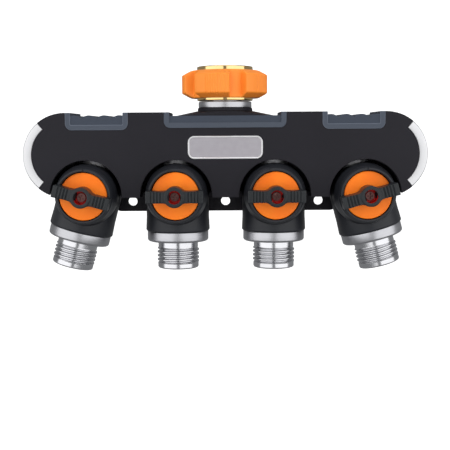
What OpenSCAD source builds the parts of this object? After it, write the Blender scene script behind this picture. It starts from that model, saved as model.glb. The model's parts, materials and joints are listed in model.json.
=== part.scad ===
// Four-outlet garden hose splitter with quarter-turn ball valves.
// The origin is the centre of the inlet's mouth, +Z up out of the inlet, +X along the row of
// outlets, and the knobs face -Y. All sizes are in millimetres.

/* [Casing] */
// Half of the casing's length
casing_half_length = 125.2; // [124:0.2:127]
// Radius of the casing's round ends, which is half of its height
casing_r = 26.3; // [26:0.1:26.6]
// Distance from the inlet's mouth down to the casing's top
casing_drop = 28.6; // [28.4:0.1:28.8]
// How far the front face stands ahead of the outlets' plane
casing_front = 19.5; // [19.2:0.1:20]
// How far the back face lies behind the outlets' plane
casing_back = 22.4; // [22.2:0.1:24]
// Wall thickness of both covers
wall = 2.4; // [2.2:0.1:2.6]
// Half of the angle that each end trim spans
trim_half_angle = 50; // [45:1:53]
// Width of the end trims' band on the front face
trim_band = 5.3; // [5:0.1:6]

/* [Wall flange] */
// Distance between neighbouring wall screw holes
hole_spacing = 61.5; // [60:0.5:62]
// Radius of the wall screw holes
hole_r = 3; // [2.5:0.1:3.2]
// Distance from the casing's bottom to the flange's bottom edge
flange_depth = 11.7; // [11:0.1:13]

/* [Valves] */
// Distance of the inner valves from the middle
inner_valve_x = 30.7; // [30.5:0.1:31]
// Distance of the outer valves from the middle
outer_valve_x = 86.8; // [86.5:0.1:87.2]
// Distance from the inlet's mouth down to the knobs' axes
valve_drop = 79.6; // [79.5:0.1:80.6]
// How far the outer outlets splay
outlet_tilt = 15; // [12:1:16]
// Radius of the barrels that cover the valves
barrel_r = 20; // [19.8:0.1:20.1]
// Length of a barrel below its knob's axis
barrel_length = 23.9; // [23:0.1:24]
// Radius of the balls
ball_r = 10; // [9.9:0.1:10]
// Radius of the port through each ball
port_r = 6; // [5.5:0.1:6]

/* [Outlets] */
// Radius of the collar under each barrel
collar_r = 19.5; // [19:0.1:19.8]
// Height of the collar
collar_height = 6.5; // [6:0.1:7]
// Outer radius of the garden hose thread
thread_r = 13.4; // [13.3:0.05:13.5]
// Distance from the knob's axis to the end of the outlet
outlet_reach = 47.8; // [46:0.1:48]
// Radius of the water way through each outlet
outlet_bore_r = 8.5; // [8:0.1:8.8]

/* [Knobs] */
// Radius of the dial
dial_r = 14.6; // [14.3:0.1:14.7]
// Outer radius of the ring around the dial, near its front
ring_r = 17.7; // [17.6:0.1:17.9]
// How far the ring stands ahead of the outlets' plane
ring_front = 30; // [29.8:0.1:30.4]
// Length of the lever bar
lever_length = 35.2; // [33:0.1:35.3]
// Width of the lever bar
lever_width = 7; // [6.4:0.1:7.2]
// Radius of the lever's hub
hub_r = 6.3; // [6:0.1:6.5]

/* [Inlet] */
// Outer radius of the swivel nut
nut_r = 17.6; // [17.5:0.1:17.9]
// Height of the swivel nut
nut_height = 21.4; // [21.2:0.1:21.6]
// Radius of the nut's thread, at its roots
nut_thread_r = 13.55; // [13.5:0.05:13.6]
// Radius of the grip ring between its lobes
grip_r = 22; // [21.5:0.1:22.5]
// Radius of the grip ring over its lobes
lobe_r = 27.3; // [26:0.1:28]
// Number of lobes
lobe_count = 5; // [4:1:6]
// Angle that each lobe spans
lobe_span = 53; // [45:1:56]

/* [Grips] */
// Half width of the middle grip
middle_grip_half = 37.7; // [37:0.1:38]
// Distance of the side grips' centres from the middle
side_grip_x = 79.2; // [79:0.1:79.6]
// Half width of the side grips
side_grip_half = 19.3; // [19:0.1:19.5]
// Width of the raised rim around each grip
grip_rim = 3.2; // [3:0.1:3.4]
// Pitch of the finger humps
hump_pitch = 9.44; // [9.2:0.02:9.6]
// Height of the finger humps
hump_height = 2; // [1:0.1:2.2]

/* [Name plate] */
// Width of the blank name plate
plate_width = 46.3; // [44:0.1:48]
// Height of the blank name plate
plate_height = 14.1; // [13:0.1:15]

/* [Hidden] */
$fn = 96;
gap = 0.1;         // assembly clearance in pockets
fit = 0.05;        // clearance between pieces that are screwed or pressed together
far = 300;         // longer than anything it cuts
casing_z = -casing_drop - casing_r;
casing_top = -casing_drop;
casing_bottom = casing_z - casing_r;
end_x = casing_half_length - casing_r;
valve_z = -valve_drop;
valve_ids = [1, 2, 3, 4];
valve_x = [-outer_valve_x, -inner_valve_x, inner_valve_x, outer_valve_x];
valve_tilt = [outlet_tilt, 0, 0, -outlet_tilt];
lug_side = [-1, -1, -1, 1];   // the side of the ring that carries the stop lug

tube_z = casing_z + 6.5;      // axis of the manifold's main tube
tube_r = 11;
tube_bore_r = 8;
tube_half = 94.5;
plug_r = 9.5;
plug_length = 10;
stub_r = 13.5;                // the manifold's inlet stub
stub_top = -26;
chamber_r = 16.5;
chamber_bottom = 21.5;
chamber_dome_r = 17.5;
cavity_r = 11.05;
seat_end = ball_r + 0.8;      // the seats' outer faces, from the ball's centre
seat_inner = 6;
socket_r = 12.55;
branch_r = 9;
passage_r = 6.2;

stem_r = 3.5;
gland_face = 16.2;            // where the gland's body meets the chamber
gland_r = 8.1;
gland_thread_r = 5.6;
ring_floor = 24;              // front of the floor that the gland clamps
ring_foot = 4.8;              // where the ring's wide base starts inside the barrel
ring_base_r = 19.4;
ring_base_front = 17.4;
foot_flare = 0.35;            // how much wider a barrel is at its lower end
foot_height = 9;
dial_face = ring_front - 0.8;
dial_back = dial_face - 2.2;
hub_front = 42;
lever_front = 41.5;
core_tube_r = 4.6;
recess_r = 3.8;
web_front = 34.6;
screw_head_r = 2.6;
stem_square = 4.8;
stem_shoulder = 26;           // where the stem turns from round to square
lug_height = 1.6;

arch_r = 22.4;
arch_hole_r = 22.1;
arch_rebate = 1.6;
arch_z = valve_z - 0.5;         // centre of the arches over the rings
barrel_room_r = barrel_r + 0.5;
ledge_z = casing_bottom + 2.3;

neck_bore_r = 7.5;
neck_collar_r = 16.8;
neck_collar_bottom = stub_top + 0.1;
neck_collar_top = -nut_height - 0.5;
neck_flange_r = 13.3;
neck_tube_r = 10.9;
neck_spigot_r = 10.4;
nut_lip = 3;
nut_relief_r = 13.9;
nut_thread_length = 11.8;
washer_bottom = -15.3;
washer_top = -12.3;

trough_floor = casing_top - 6;
side_grip_foot = casing_top - 10.7;
middle_grip_foot = casing_top - 9.6;
grip_corner = 4;
apron_depth = 1.4;
apron_proud = 0.3;
shroud_half_depth = 18.5;
plate_z = casing_top - 21.7;
plate_corner = 4;
plate_depth = 1;              // how deep the name plate sits in the front face

flange_half = 74;
flange_corner = 5;
hole_z = casing_bottom - flange_depth / 2 + 0.7;
boss_r = 4.3;                 // the rear cover's screw bosses
boss_front_r = 3.2;           // the front cover's screw bosses
screw_r = 1.4;
screw_seat = 6;               // where the case screws' heads rest
cradle_x = [-58, -13, 13, 58];

screw_points = [
    [-104, casing_z], [104, casing_z],
    [-57, -71], [57, -71], [0, -71],
    [-49, -34.4], [49, -34.4]
];

// Extrudes a shape drawn in X and Z from y_front to y_back.
module slab(y_front, y_back) {
    translate([0, y_back, 0]) rotate([90, 0, 0]) linear_extrude(y_back - y_front) children();
}

// A cylinder along Y, between y_front and y_back.
module pin_y(r, y_front, y_back) {
    translate([0, y_back, 0]) rotate([90, 0, 0]) cylinder(r = r, h = y_back - y_front);
}

// A cylinder along Z, between two heights.
module pin_z(r, low, high) {
    translate([0, 0, low]) cylinder(r = r, h = high - low);
}

// The frame of valve i: its ball's centre, with +Z towards the inlet.
module at_valve(i) {
    translate([valve_x[i], 0, valve_z]) rotate([0, valve_tilt[i], 0]) children();
}

// A straight-sided outline with round ends, drawn in X and Z.
module casing_outline() {
    translate([0, casing_z]) {
        square([2 * end_x, 2 * casing_r], center = true);
        for (s = [-1, 1]) translate([s * end_x, 0]) circle(casing_r);
    }
}

// A rectangle with its two lower corners rounded.
module rounded_foot(half, low, high, r) {
    translate([-half, low + r]) square([2 * half, high - low - r]);
    translate([-half + r, low]) square([2 * half - 2 * r, r]);
    for (s = [-1, 1]) translate([s * (half - r), low + r]) circle(r);
}

// A rectangle with four round corners.
module rounded_plate(w, h, r) {
    square([w - 2 * r, h], center = true);
    square([w, h - 2 * r], center = true);
    for (sx = [-1, 1], sz = [-1, 1]) translate([sx * (w / 2 - r), sz * (h / 2 - r)]) circle(r);
}

// Sweeps a section of radius and depth around the casing's end, between two angles.
module end_sweep(side, a0, a1) {
    translate([side * end_x, 0, casing_z]) rotate([90, 0, 0]) rotate([0, 0, a0])
        rotate_extrude(angle = a1 - a0) children();
}

// A torus around Z.
module seal_ring(r, section_r, z) {
    translate([0, 0, z]) rotate_extrude() translate([r, 0]) circle(section_r, $fn = 24);
}

// The hollow between the covers, with thicker walls behind the end trims.
module cover_cavity() {
    end_r = casing_r - trim_band + 1.3;
    end_wall = wall + 2;
    slab(-casing_front + wall, casing_back - wall) translate([0, casing_z])
        square([2 * end_x, 2 * (casing_r - wall)], center = true);
    slab(-casing_front + end_wall, casing_back - end_wall)
        for (s = [-1, 1]) translate([s * end_x, casing_z]) circle(end_r);
}

// Room for both end trims.
module trim_room(extra) {
    for (side = [-1, 1]) {
        a = (side > 0 ? 0 : 180) - trim_half_angle - extra;
        end_sweep(side, a, a + 2 * (trim_half_angle + extra)) trim_section(gap);
    }
}

// Section of an end trim: a channel that wraps the end, drawn as radius and depth.
module trim_section(grow = 0) {
    lip = 1.6;
    skin = 1.8;
    over = grow > 0 ? 2 : 0;
    depth = casing_front + casing_back;
    translate([casing_r - skin - grow, -casing_back - over])
        square([skin + grow + over, depth + 2 * over]);
    translate([casing_r - trim_band - grow, casing_front - lip - grow])
        square([trim_band + grow + over, lip + grow + over]);
    translate([casing_r - trim_band - grow, -casing_back - over])
        square([trim_band + grow + over, lip + grow + over]);
}

module end_trim(side) {
    a = (side > 0 ? 0 : 180) - trim_half_angle;
    color("silver") end_sweep(side, a, a + 2 * trim_half_angle) trim_section();
}

// Room for one grip: the trough over the top, and the aprons on the two faces.
module grip_room(x, half, foot) {
    translate([x - half, -far / 2, trough_floor]) cube([2 * half, far, far]);
    translate([x, 0, 0]) {
        slab(-casing_front - 2, -casing_front + apron_depth + gap)
            rounded_foot(half + gap, foot - gap, casing_top + 2, grip_corner);
        slab(casing_back - apron_depth - gap, casing_back + 2)
            rounded_foot(half + gap, foot - gap, casing_top + 2, grip_corner);
    }
}

module all_grip_rooms() {
    for (s = [-1, 1]) grip_room(s * side_grip_x, side_grip_half, side_grip_foot);
    grip_room(0, middle_grip_half, middle_grip_foot);
}

// The arched opening in the front cover that a barrel shows through.
module arch_room(x) {
    translate([x, 0, 0]) {
        slab(-casing_front - 1, -ring_foot + 1) {
            translate([0, arch_z]) circle(arch_hole_r);
            translate([-arch_hole_r, arch_z - 20]) square([2 * arch_hole_r, 20]);
            translate([-arch_r, ledge_z - 20]) square([2 * arch_r, 20]);
        }
        slab(-casing_front - 1, -casing_front + arch_rebate) {
            translate([0, arch_z]) circle(arch_r);
            translate([-arch_r, arch_z - 20]) square([2 * arch_r, 20]);
        }
    }
}

// Room for the barrels inside the casing and through its bottom wall.
module barrel_room() {
    for (i = [0:3]) at_valve(i) {
        sphere(barrel_room_r);
        pin_z(barrel_room_r, -20, 0);
    }
}

// Ribs that cradle the manifold's main tube.
module cradle(y_front, y_back) {
    for (x = cradle_x)
        translate([x - 1, y_front, tube_z - 9]) cube([2, y_back - y_front, 20]);
}

module tube_room() {
    translate([-far / 2, 0, tube_z]) rotate([0, 90, 0]) cylinder(r = tube_r + fit, h = far);
}

module front_cover() {
    color([0.16, 0.16, 0.17]) difference() {
        union() {
            difference() {
                slab(-casing_front, 0) casing_outline();
                cover_cavity();
            }
            for (p = screw_points) translate([p[0], 0, p[1]]) pin_y(boss_front_r, -casing_front + 1, 0);
            cradle(-casing_front + 1, -1);
        }
        for (p = screw_points) translate([p[0], 0, p[1]]) pin_y(screw_r + fit, -14, 1);
        tube_room();
        trim_room(0.2);
        all_grip_rooms();
        for (x = valve_x) arch_room(x);
        barrel_room();
        pin_z(stub_r + gap, tube_z, 0);
        slab(-casing_front - 1, -casing_front + plate_depth + gap)
            translate([0, plate_z])
                rounded_plate(plate_width + 2 * gap, plate_height + 2 * gap, plate_corner);
    }
}

module flange_outline() {
    low = casing_bottom - flange_depth;
    foot_half = flange_half - flange_corner;
    translate([-flange_half, low + flange_corner]) square([2 * flange_half, 20]);
    translate([-foot_half, low]) square([2 * foot_half, flange_corner + 0.5]);
    for (s = [-1, 1]) translate([s * foot_half, low + flange_corner]) circle(flange_corner);
}

module rear_cover() {
    color([0.15, 0.15, 0.16]) difference() {
        union() {
            difference() {
                slab(0, casing_back) casing_outline();
                cover_cavity();
            }
            slab(casing_back - wall, casing_back) flange_outline();
            for (p = screw_points) translate([p[0], 0, p[1]]) pin_y(boss_r, 0, casing_back - 1);
            cradle(1, casing_back - 1);
        }
        for (p = screw_points) translate([p[0], 0, p[1]]) {
            pin_y(screw_r + 0.2, -1, casing_back);
            pin_y(boss_r - 0.9, screw_seat, casing_back + 1);
        }
        for (k = [-1, 0, 1]) translate([k * hole_spacing, 0, hole_z])
            pin_y(hole_r, 10, casing_back + 1);
        tube_room();
        trim_room(0.2);
        all_grip_rooms();
        barrel_room();
        pin_z(stub_r + gap, tube_z, 0);
    }
}

// A soft grip: a trough over the casing's top with an apron on each face.
module grip(half, foot, floor_z, humps) {
    inner = half - grip_rim;
    pit = floor_z - (humps ? hump_height : 0);
    hump_r = (hump_pitch * hump_pitch / 4 + hump_height * hump_height) / (2 * hump_height);
    difference() {
        union() {
            slab(-casing_front - apron_proud, casing_back)
                translate([-half, trough_floor]) square([2 * half, casing_top - trough_floor]);
            slab(-casing_front - apron_proud, -casing_front + apron_depth)
                rounded_foot(half, foot, casing_top, grip_corner);
            slab(casing_back - apron_depth, casing_back)
                rounded_foot(half, foot, casing_top, grip_corner);
        }
        slab(-far, far) difference() {
            translate([-inner, pit]) square([2 * inner, 20]);
            if (humps) for (k = [-1.5:1:1.5])
                translate([k * hump_pitch, pit + hump_height - hump_r]) circle(hump_r);
        }
        slab(-casing_front - 1, -casing_front - apron_proud + 0.6)
            translate([-inner, foot + grip_rim]) square([2 * inner, 20]);
    }
}

module side_grip(side) {
    color([0.24, 0.28, 0.34]) translate([side * side_grip_x, 0, 0])
        grip(side_grip_half, side_grip_foot, casing_top - 1.6, true);
}

module middle_grip() {
    color([0.24, 0.28, 0.34]) difference() {
        grip(middle_grip_half, middle_grip_foot, casing_top - 2.2, false);
        pin_z(stub_r + 1, casing_z, 0);
    }
}

module name_plate() {
    color([0.72, 0.71, 0.72]) slab(-casing_front - 0.2, -casing_front + plate_depth)
        translate([0, plate_z]) rounded_plate(plate_width, plate_height, plate_corner);
}

// The shallow cone that closes the casing around the neck.
module neck_shroud() {
    base_z = casing_top - 2.2;
    color([0.17, 0.17, 0.18]) difference() {
        union() {
            intersection() {
                translate([0, 0, base_z]) cylinder(r1 = 32, r2 = 17.3, h = 3.1);
                translate([-far / 2, -shroud_half_depth, -far]) cube([far, 2 * shroud_half_depth, far]);
            }
            pin_z(17.3, base_z + 3.1 - 0.01, neck_collar_bottom);
            pin_z(stub_r + 0.9, trough_floor, base_z + 1);
        }
        pin_z(stub_r + gap, casing_z, 0);
    }
}

module case_screws() {
    color([0.45, 0.45, 0.46]) for (p = screw_points) translate([p[0], 0, p[1]]) difference() {
        union() {
            pin_y(2.9, screw_seat, screw_seat + 2);
            pin_y(screw_r, -9, screw_seat + 0.5);
        }
        for (a = [0, 90]) rotate([0, a, 0]) translate([-1.7, 7, -0.35]) cube([3.4, 2, 0.7]);
    }
}

module manifold() {
    color([0.66, 0.66, 0.67]) difference() {
        union() {
            translate([-tube_half, 0, tube_z]) rotate([0, 90, 0]) cylinder(r = tube_r, h = 2 * tube_half);
            pin_z(stub_r, tube_z, stub_top);
            for (i = [0:3]) at_valve(i) {
                pin_z(branch_r, 0, (tube_z - valve_z) / cos(valve_tilt[i]));
                sphere(chamber_dome_r);
                pin_z(chamber_r, -chamber_bottom, 0);
            }
        }
        translate([-tube_half - 1, 0, tube_z]) rotate([0, 90, 0])
            cylinder(r = tube_bore_r, h = 2 * tube_half + 2);
        for (s = [-1, 1]) translate([s * (tube_half - plug_length / 2), 0, tube_z]) rotate([0, 90, 0])
            cylinder(r = plug_r + fit, h = plug_length + 0.01, center = true);
        pin_z(neck_bore_r + 0.5, tube_z, 0);
        pin_z(neck_spigot_r + fit, -36.5, 0);
        for (i = [0:3]) at_valve(i) {
            pin_z(passage_r, 0, (tube_z - valve_z) / cos(valve_tilt[i]));
            pin_z(cavity_r, -seat_end - 0.01, seat_end);
            pin_z(socket_r, -chamber_bottom - 1, -seat_end);
            pin_y(gland_thread_r + fit, -30, -12.8);
            pin_y(5, -13, 0);
            translate([-12, -30, -12]) cube([24, 30 - gland_face, 24]);
        }
    }
}

module manifold_end_plugs() {
    color([0.7, 0.58, 0.3]) for (s = [-1, 1])
        translate([s * (tube_half - plug_length / 2), 0, tube_z]) rotate([0, 90, 0]) difference() {
            cylinder(r = plug_r, h = plug_length, center = true);
            translate([0, 0, s * (plug_length / 2)]) cylinder(r = 4.6, h = 8, center = true, $fn = 6);
        }
}

module inlet_neck() {
    color([0.8, 0.8, 0.81]) difference() {
        union() {
            pin_z(neck_flange_r, -nut_height + nut_lip + 0.2, washer_bottom - 0.1);
            pin_z(neck_tube_r, neck_collar_top - 0.1, -nut_height + nut_lip + 0.3);
            pin_z(neck_collar_r, neck_collar_bottom, neck_collar_top);
            pin_z(neck_spigot_r, -36, neck_collar_bottom + 0.1);
        }
        pin_z(neck_bore_r, -40, 0);
        difference() {
            pin_z(20, -31.2, -29.2);
            pin_z(8.5, -32, -28);
        }
    }
}

module neck_seal() {
    color([0.1, 0.1, 0.1]) seal_ring(9.47, 0.93, -30.2);
}

module nut_keys(grow) {
    for (a = [45:90:315]) rotate([0, 0, a])
        translate([nut_r - 2, -1.25 - grow, -nut_height / 2 - 6 - grow])
            cube([3 + grow, 2.5 + 2 * grow, 12 + 2 * grow]);
}

module swivel_nut() {
    color([0.85, 0.7, 0.35]) difference() {
        union() {
            pin_z(nut_r, -nut_height, 0);
            nut_keys(0);
        }
        pin_z(nut_thread_r, -nut_thread_length, 1);
        pin_z(nut_relief_r, -nut_height + nut_lip, -nut_thread_length);
        pin_z(neck_tube_r + 0.1, -nut_height - 1, -nut_height + nut_lip + 1);
    }
}

// The lobed ring that is moulded over the nut.
module nut_grip() {
    top = -2.6;
    bottom = -19.8;
    step = 360 / lobe_count;
    color([1, 0.55, 0.18]) difference() {
        intersection() {
            rotate_extrude() polygon([
                [nut_r + fit, bottom], [grip_r - 1, bottom], [lobe_r, bottom + 3.8],
                [lobe_r, top - 3.8], [grip_r - 1, top], [nut_r + fit, top]
            ]);
            translate([0, 0, -30]) linear_extrude(40) {
                circle(grip_r);
                for (k = [0:lobe_count - 1]) rotate(-90 - 18.5 + k * step) intersection() {
                    circle(lobe_r);
                    polygon([[0, 0], [60 * cos(lobe_span / 2), 60 * sin(lobe_span / 2)],
                             [80, 0], [60 * cos(lobe_span / 2), -60 * sin(lobe_span / 2)]]);
                }
            }
        }
        nut_keys(0.1);
    }
}

module inlet_washer() {
    color([0.12, 0.12, 0.13]) difference() {
        union() {
            pin_z(12.6, washer_bottom, washer_top);
            for (a = [30:120:270]) rotate([0, 0, a])
                translate([11.9, 0, 0]) pin_z(1.6, washer_bottom, washer_top);
        }
        pin_z(8.1, washer_bottom - 1, 0);
    }
}

module ball_seats() {
    color([0.93, 0.93, 0.9]) for (i = [0:3], s = [-1, 1]) at_valve(i) difference() {
        pin_z(cavity_r - fit, s > 0 ? seat_inner : -seat_end, s > 0 ? seat_end : -seat_inner);
        sphere(ball_r + 0.1);
        pin_z(passage_r, -20, 20);
    }
}

module outlet_seals() {
    color([0.1, 0.1, 0.1]) for (i = [0:3]) at_valve(i) seal_ring(11.68, 0.8, -15);
}

// Hexagon glands that hold the stems in and clamp the barrels.
module stem_glands() {
    color([0.82, 0.66, 0.35]) for (i = [0:3]) at_valve(i) difference() {
        union() {
            pin_y(gland_thread_r, -gland_face - 0.1, -12.9);
            pin_y(gland_r, -ring_floor, -gland_face);
            translate([0, -ring_floor, 0]) rotate([90, 0, 0]) cylinder(r = 9.3, h = 1.8, $fn = 6);
        }
        pin_y(stem_r + 0.06, -40, 0);
    }
}

// The black barrel moulded over a valve chamber, with the ring that the dial sits in.
module barrel(i) {
    lug_from = lug_side[i] < 0 ? 104.5 : 14.5;
    color([0.19, 0.2, 0.22]) at_valve(i) difference() {
        union() {
            intersection() {
                sphere(barrel_r);
                translate([-30, -30, 0]) cube(60);
            }
            pin_z(barrel_r, -barrel_length, 0);
            translate([0, 0, -barrel_length])
                cylinder(r1 = barrel_r + foot_flare, r2 = barrel_r, h = foot_height);
            rotate([90, 0, 0]) rotate_extrude() polygon([
                [0, ring_foot], [ring_base_r, ring_foot], [ring_base_r, ring_base_front],
                [ring_r + 0.2, ring_floor], [ring_r, ring_front - 3], [ring_r - 1.2, ring_front],
                [0, ring_front]
            ]);
            translate([0, -ring_front + 3, 0]) rotate([90, 0, 0]) rotate([0, 0, lug_from])
                rotate_extrude(angle = 61) translate([dial_r + 0.6, 0]) square([1.8, lug_height + 3]);
        }
        sphere(chamber_dome_r + fit);
        pin_z(chamber_r + fit, -barrel_length - 1, 0);
        pin_y(dial_r + 0.4, -ring_front - 4, -ring_floor);
        pin_y(gland_r + fit, -ring_floor - 1, -5);
        pin_z(branch_r + fit, 0, 40);
    }
}

module outlet(i) {
    foot = outlet_reach;
    collar_end = barrel_length + collar_height;
    color([0.78, 0.79, 0.8]) at_valve(i) rotate([180, 0, 0]) difference() {
        rotate_extrude() polygon([
            [outlet_bore_r, seat_end], [socket_r - fit, seat_end],
            [socket_r - fit, 13.8], [10.85, 13.8], [10.85, 16.2], [socket_r - fit, 16.2],
            [socket_r - fit, chamber_bottom], [chamber_r, chamber_bottom], [chamber_r, barrel_length],
            [collar_r, barrel_length], [collar_r, collar_end - 1.2], [collar_r - 1.2, collar_end],
            [thread_r - 0.9, collar_end], [thread_r - 0.9, collar_end + 3.4],
            [thread_r, collar_end + 3.4], [thread_r, foot - 0.9], [thread_r - 0.9, foot],
            [outlet_bore_r, foot]
        ]);
    }
}

// The lever's bar, which is moulded over the dial's tube.
module lever(i) {
    w = lever_width / 2;
    blend_end = hub_r + 1.7;      // where the hub's wall has run out into the bar's side
    blend_start = hub_r * 0.73;
    blend_w = hub_r * 0.68;
    color([0.17, 0.18, 0.19]) at_valve(i) difference() {
        union() {
            slab(-lever_front, -dial_face) {
                intersection() {
                    square([lever_length, lever_width], center = true);
                    circle(lever_length / 2);
                }
                for (s = [-1, 1]) polygon([
                    [-blend_end, s * w], [-blend_start, s * blend_w], [blend_start, s * blend_w],
                    [blend_end, s * w], [0, 0]
                ]);
            }
            pin_y(hub_r, -hub_front, -dial_face);
        }
        pin_y(core_tube_r + fit, -41.25, 0);
        pin_y(recess_r, -50, -30);
        difference() {
            pin_y(40, -ring_front - 0.6, 0);
            pin_y(dial_r, -40, 1);
        }
        for (s = [-1, 1], k = [0:3])
            translate([s * (9.4 + 1.9 * k) - 0.35, -50, -5]) cube([0.7, 50 - lever_front + 0.5, 10]);
    }
}

// The dial, the tube in its middle and the socket that drives the stem.
module dial(i) {
    color([1, 0.45, 0.1]) at_valve(i) difference() {
        union() {
            pin_y(dial_r, -dial_face, -dial_back);
            pin_y(6, -dial_back - 0.1, -dial_back + 0.7);
            pin_y(core_tube_r, -41.2, -dial_face);
        }
        translate([-stem_square / 2 - fit, -33, -stem_square / 2 - fit])
            cube([stem_square + 2 * fit, 10, stem_square + 2 * fit]);
        pin_y(1.6, -40, -30);
        pin_y(recess_r, -45, -web_front);
    }
}

module lever_screw(i) {
    color([0.5, 0.5, 0.5]) at_valve(i) difference() {
        union() {
            pin_y(screw_head_r, -web_front - 2, -web_front);
            pin_y(1.45, -web_front - 0.1, -26);
        }
        for (a = [12, 102]) rotate([0, a, 0]) translate([-1.7, -web_front - 3, -0.4]) cube([3.4, 2.2, 0.8]);
    }
}

module stem(i) {
    color([0.82, 0.66, 0.35]) at_valve(i) difference() {
        union() {
            pin_y(stem_r, -stem_shoulder, -10.7);
            pin_y(4.8, -12.6, -10.7);
            translate([-stem_square / 2, -32.8, -stem_square / 2])
                cube([stem_square, 33 - stem_shoulder, stem_square]);
            translate([-4, -10.8, -1.4]) cube([8, 3.5, 2.8]);
        }
        pin_y(1.5, -40, -25.5);
        difference() {
            pin_y(5, -20.2, -18.2);
            pin_y(2, -21, -17);
        }
    }
}

module stem_seal(i) {
    color([0.1, 0.1, 0.1]) at_valve(i) translate([0, -19.2, 0]) rotate([90, 0, 0])
        rotate_extrude() translate([2.77, 0]) circle(0.74, $fn = 24);
}

module ball(i) {
    color([0.85, 0.85, 0.87]) at_valve(i) difference() {
        sphere(ball_r);
        translate([-20, 0, 0]) rotate([0, 90, 0]) cylinder(r = port_r, h = 40);
        translate([-20, -15, -1.5]) cube([40, 7.8, 3]);
    }
}

front_cover();
rear_cover();
end_trim(-1);  // left_end_trim
end_trim(1);  // right_end_trim
side_grip(-1);  // left_grip
middle_grip();
side_grip(1);  // right_grip
name_plate();
neck_shroud();
manifold();
manifold_end_plugs();
inlet_neck();
neck_seal();
swivel_nut();
nut_grip();
inlet_washer();
case_screws();
ball_seats();
outlet_seals();
stem_glands();
for (i = [0:3]) {
    barrel(i);
    outlet(i);
    lever(i);
    dial(i);
    lever_screw(i);
    stem(i);
    stem_seal(i);
    ball(i);
}
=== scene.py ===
import bpy
import bmesh
import json
import math
import numpy as np
from mathutils import Matrix, Vector


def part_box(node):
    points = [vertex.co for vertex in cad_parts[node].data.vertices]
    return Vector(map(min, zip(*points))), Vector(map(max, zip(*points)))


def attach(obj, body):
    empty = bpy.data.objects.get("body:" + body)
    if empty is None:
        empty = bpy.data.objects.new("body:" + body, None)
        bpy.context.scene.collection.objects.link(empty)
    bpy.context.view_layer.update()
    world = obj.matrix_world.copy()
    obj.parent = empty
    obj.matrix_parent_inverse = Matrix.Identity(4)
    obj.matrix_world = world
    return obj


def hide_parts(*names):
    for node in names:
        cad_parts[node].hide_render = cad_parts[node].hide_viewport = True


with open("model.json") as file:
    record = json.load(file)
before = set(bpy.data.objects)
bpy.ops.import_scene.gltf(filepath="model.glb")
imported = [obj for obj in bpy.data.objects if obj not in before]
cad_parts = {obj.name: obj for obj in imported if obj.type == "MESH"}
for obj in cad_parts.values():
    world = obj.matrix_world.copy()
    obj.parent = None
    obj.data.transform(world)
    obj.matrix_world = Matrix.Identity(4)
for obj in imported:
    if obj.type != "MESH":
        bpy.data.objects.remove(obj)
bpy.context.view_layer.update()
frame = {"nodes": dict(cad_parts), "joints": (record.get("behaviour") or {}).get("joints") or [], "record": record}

# Garden hose splitter: four ball valves in a row under a long casing, a swivel nut on top.
# Everything is drawn in millimetres and put into the mesh in metres, in the frame of the CAD model.

nodes = frame["nodes"]
mounts = {m["name"]: m for m in frame["record"]["mounts"]}
joints = {j["name"]: j for j in frame["joints"]}
mm = 0.001
valveNumbers = (1, 2, 3, 4)
turn = 2 * math.pi


class Place:
    # a local frame in millimetres: x to the right, y to the back, z up the outlet's axis
    def __init__(self, centre, up):
        self.centre = np.array(centre, float)
        self.up = np.array(up, float)
        self.right = np.array([self.up[2], 0.0, -self.up[0]])
        self.back = np.array([0.0, 1.0, 0.0])

    def world(self, p):
        return self.centre + p[..., :1] * self.right + p[..., 1:2] * self.back + p[..., 2:3] * self.up


def valvePlace(i):
    centre = np.array(joints[f"valve_key_{i}_turn"]["pos_m"]) / mm
    return Place(centre, -np.array(mounts[f"outlet_{i}"]["axis"]))


inletPlace = Place((0, 0, 0), (0, 0, 1))


def cadBoxMm(node):
    low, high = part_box(node)
    return np.array(low) / mm, np.array(high) / mm


def filleted(corners, steps=4):
    # a closed outline: each corner is (a, b, radius)
    # a radius above 0 becomes an arc that touches both of the corner's sides
    out = []
    for k, (a, b, radius) in enumerate(corners):
        corner = np.array([a, b], float)
        if radius <= 0:
            out.append(corner[None])
            continue
        before = np.array(corners[k - 1][:2], float) - corner
        after = np.array(corners[(k + 1) % len(corners)][:2], float) - corner
        before /= np.linalg.norm(before)
        after /= np.linalg.norm(after)
        half = math.acos(np.clip(before @ after, -1, 1)) / 2
        middle = (before + after) / np.linalg.norm(before + after)
        centre = corner + middle * radius / math.sin(half)
        start = corner + before * radius / math.tan(half) - centre
        end = corner + after * radius / math.tan(half) - centre
        first = math.atan2(start[1], start[0])
        sweep = (math.atan2(end[1], end[0]) - first + math.pi) % turn - math.pi
        angle = first + sweep * np.linspace(0, 1, steps + 1)
        out.append(centre + radius * np.stack([np.cos(angle), np.sin(angle)], -1))
    return np.concatenate(out)


def gridMesh(name, points, closedRows=True, closedColumns=True, uv=None, caps=False):
    # a surface on a grid of rows and columns; uv has one row and one column more than the points
    rows, columns = points.shape[:2]
    index = np.arange(rows * columns).reshape(rows, columns)
    i = np.arange(rows if closedRows else rows - 1)[:, None]
    j = np.arange(columns if closedColumns else columns - 1)[None, :]
    ring = [(i, j), (i + 1, j), (i + 1, j + 1), (i, j + 1)]
    faces = np.stack([index[a % rows, b % columns] for a, b in ring], -1).reshape(-1, 4)
    mesh = bpy.data.meshes.new(name)
    allFaces = faces.tolist()
    if caps:
        allFaces += [index[0].tolist(), index[-1][::-1].tolist()]
    mesh.from_pydata((points.reshape(-1, 3) * mm).tolist(), [], allFaces)
    if uv is not None:
        corners = np.stack([uv[a, b] for a, b in ring], 2).reshape(-1, 2)
        full = np.zeros((len(mesh.loops), 2))
        full[:len(corners)] = corners
        mesh.uv_layers.new(name="along").data.foreach_set("uv", full.ravel())
    return mesh


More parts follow.
